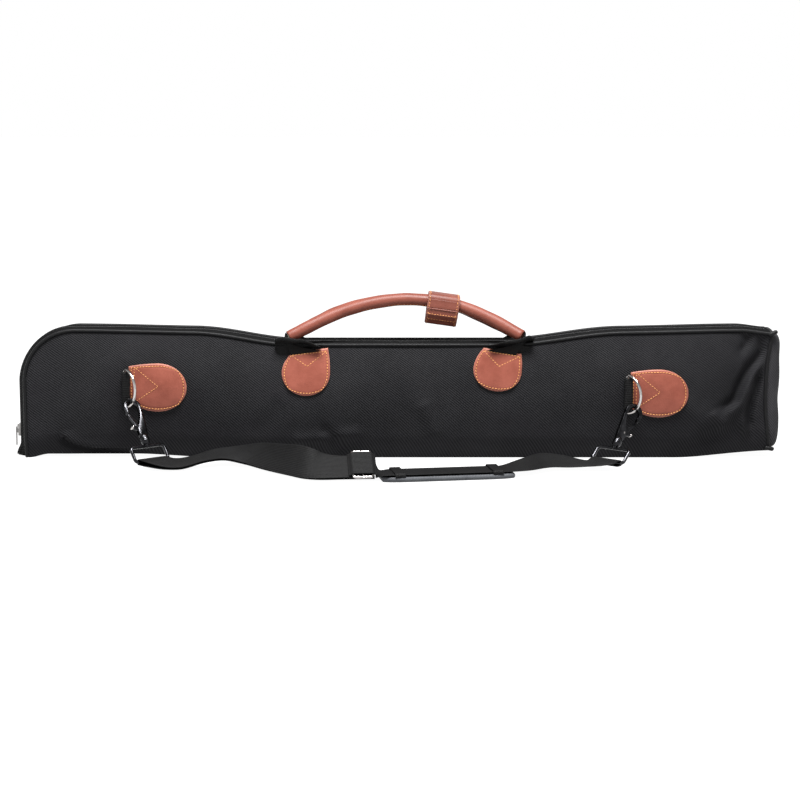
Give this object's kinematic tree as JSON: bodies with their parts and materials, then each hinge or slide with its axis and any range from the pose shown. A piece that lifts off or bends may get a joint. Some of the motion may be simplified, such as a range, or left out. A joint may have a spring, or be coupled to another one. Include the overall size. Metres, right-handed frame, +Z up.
{
  "type": "telescope carry case",
  "caption": "Long soft padded nylon carry case with a zip along its top and end, rolled leather handles joined by a wrap, leather patches, D-rings and a clip-on shoulder strap.",
  "frame": {"origin": "middle of the flat base that the case stands on", "axes": "+X along the case from its zipped end to its end cap, +Z up, the front with the D-rings faces -Y"},
  "size_m": [0.8966, 0.2213, 0.193],
  "materials": {
    "nylon": "matte ballistic nylon twill",
    "lining": "soft napped lining over foam",
    "board": "satin",
    "piping": "satin",
    "zip": "satin",
    "leather": "smooth, semi-gloss",
    "core": "matte",
    "webbing": "matte ribbed webbing",
    "chrome": "polished",
    "gunmetal": "polished gunmetal",
    "rubber": "matte",
    "velcro": "hook-and-loop"
  },
  "bodies": {
    "case": {"front_panel": "nylon", "front_padding": "lining", "gusset_front": "nylon", "piping_front": "piping", "zip_chain_front": "zip", "bottom_panel": "nylon", "bottom_board": "board", "end_cap": "nylon", "piping_end_cap": "piping", "handle_tab_front_left": "leather", "handle_tab_front_right": "leather", "ring_tab_left": "leather", "ring_tab_right": "leather", "ring_loop_left": "webbing", "ring_loop_right": "webbing", "strap_left_outer": "webbing", "strap_left_inner": "webbing", "strap_right": "webbing", "handle_web_front_left": "webbing", "handle_web_front_right": "webbing", "handle_web_back_left": "webbing", "handle_web_back_right": "webbing"},
    "back": {"back_panel": "nylon", "back_padding": "lining", "gusset_back": "nylon", "piping_back": "piping", "zip_chain_back": "zip", "handle_tab_back_left": "leather", "handle_tab_back_right": "leather"},
    "handles": {"handle_front": "leather", "handle_core_front": "core", "handle_back": "leather", "handle_core_back": "core", "handle_wrap": "leather", "wrap_loop_patch": "velcro"},
    "flap": {"wrap_flap": "leather", "wrap_hook_patch": "velcro"},
    "slider": {"zip_slider": "chrome"},
    "pull": {"zip_pull": "chrome"},
    "glide": {"tri_glide": "chrome"},
    "pad": {"shoulder_pad": "rubber", "pad_keeper_left": "webbing", "pad_keeper_right": "webbing"},
    "ring_left": {"d_ring_left": "chrome", "hook_swivel_left": "gunmetal", "strap_bight_left": "webbing"},
    "hook_left": {"hook_left": "gunmetal", "hook_pin_left": "chrome"},
    "gate_left": {"hook_gate_left": "gunmetal"},
    "ring_right": {"d_ring_right": "chrome", "hook_swivel_right": "gunmetal", "strap_bight_right": "webbing"},
    "hook_right": {"hook_right": "gunmetal", "hook_pin_right": "chrome"},
    "gate_right": {"hook_gate_right": "gunmetal"}
  },
  "joints": [
    {"name": "case_open", "type": "hinge", "parent": "case", "child": "back", "pos_m": [0, 0.022, 0.001], "axis": [-1, 0, 0], "range_deg": [0, 7], "deforming": ["handle_web_back_left", "handle_web_back_right"]},
    {"name": "ring_left_swing", "type": "hinge", "parent": "case", "child": "ring_left", "pos_m": [-0.314, -0.0419, 0.085], "axis": [0, 0, 1], "range_deg": [-18, 6], "deforming": ["strap_left_outer", "strap_left_inner"]},
    {"name": "ring_right_swing", "type": "hinge", "parent": "case", "child": "ring_right", "pos_m": [0.2675, -0.0419, 0.078], "axis": [0, 0, 1], "range_deg": [-18, 6], "deforming": ["strap_right"]},
    {"name": "hook_left_turn", "type": "hinge", "parent": "ring_left", "child": "hook_left", "pos_m": [-0.28824, -0.07289, 0.03023], "axis": [0.377, -0.469, -0.7987], "range_deg": [-11, 11]},
    {"name": "hook_right_turn", "type": "hinge", "parent": "ring_right", "child": "hook_right", "pos_m": [0.25368, -0.07599, 0.02775], "axis": [-0.47, -0.53, -0.7058], "range_deg": [-11, 11]},
    {"name": "gate_left_press", "type": "hinge", "parent": "hook_left", "child": "gate_left", "pos_m": [-0.29425, -0.06732, 0.04103], "axis": [-0.5138, 0.6116, -0.6017], "range_deg": [0, 20], "stiffness_Nm_per_rad": 0.02, "springref_deg": -20.05},
    {"name": "gate_right_press", "type": "hinge", "parent": "hook_right", "child": "gate_right", "pos_m": [0.26097, -0.06871, 0.03655], "axis": [0.3971, -0.8411, 0.3672], "range_deg": [0, 20], "stiffness_Nm_per_rad": 0.02, "springref_deg": -20.05},
    {"name": "zip_slide", "type": "slide", "parent": "case", "child": "slider", "axis": [0, 0, 1], "range_m": [0, 0.06]},
    {"name": "zip_pull_flip", "type": "hinge", "parent": "slider", "child": "pull", "pos_m": [-0.4475, 0, 0.0326], "axis": [0, 1, 0], "range_deg": [0, 170]},
    {"name": "handle_tip", "type": "hinge", "parent": "case", "child": "handles", "pos_m": [0, -0.0295, 0.1435], "axis": [1, 0, 0], "range_deg": [0, 12], "deforming": ["handle_web_front_left", "handle_web_front_right", "handle_web_back_left", "handle_web_back_right"]},
    {"name": "wrap_flap_open", "type": "hinge", "parent": "handles", "child": "flap", "pos_m": [0.05434, -0.02064, 0.17362], "axis": [-0.9903, 0, 0.1392], "range_deg": [0, 100]},
    {"name": "glide_slide", "type": "slide", "parent": "case", "child": "glide", "axis": [0.9959, 0.09, 0], "range_m": [-0.012, 0]},
    {"name": "pad_slide", "type": "slide", "parent": "case", "child": "pad", "axis": [0.9849, 0.173, 0], "range_m": [0, 0.008]}
  ]
}
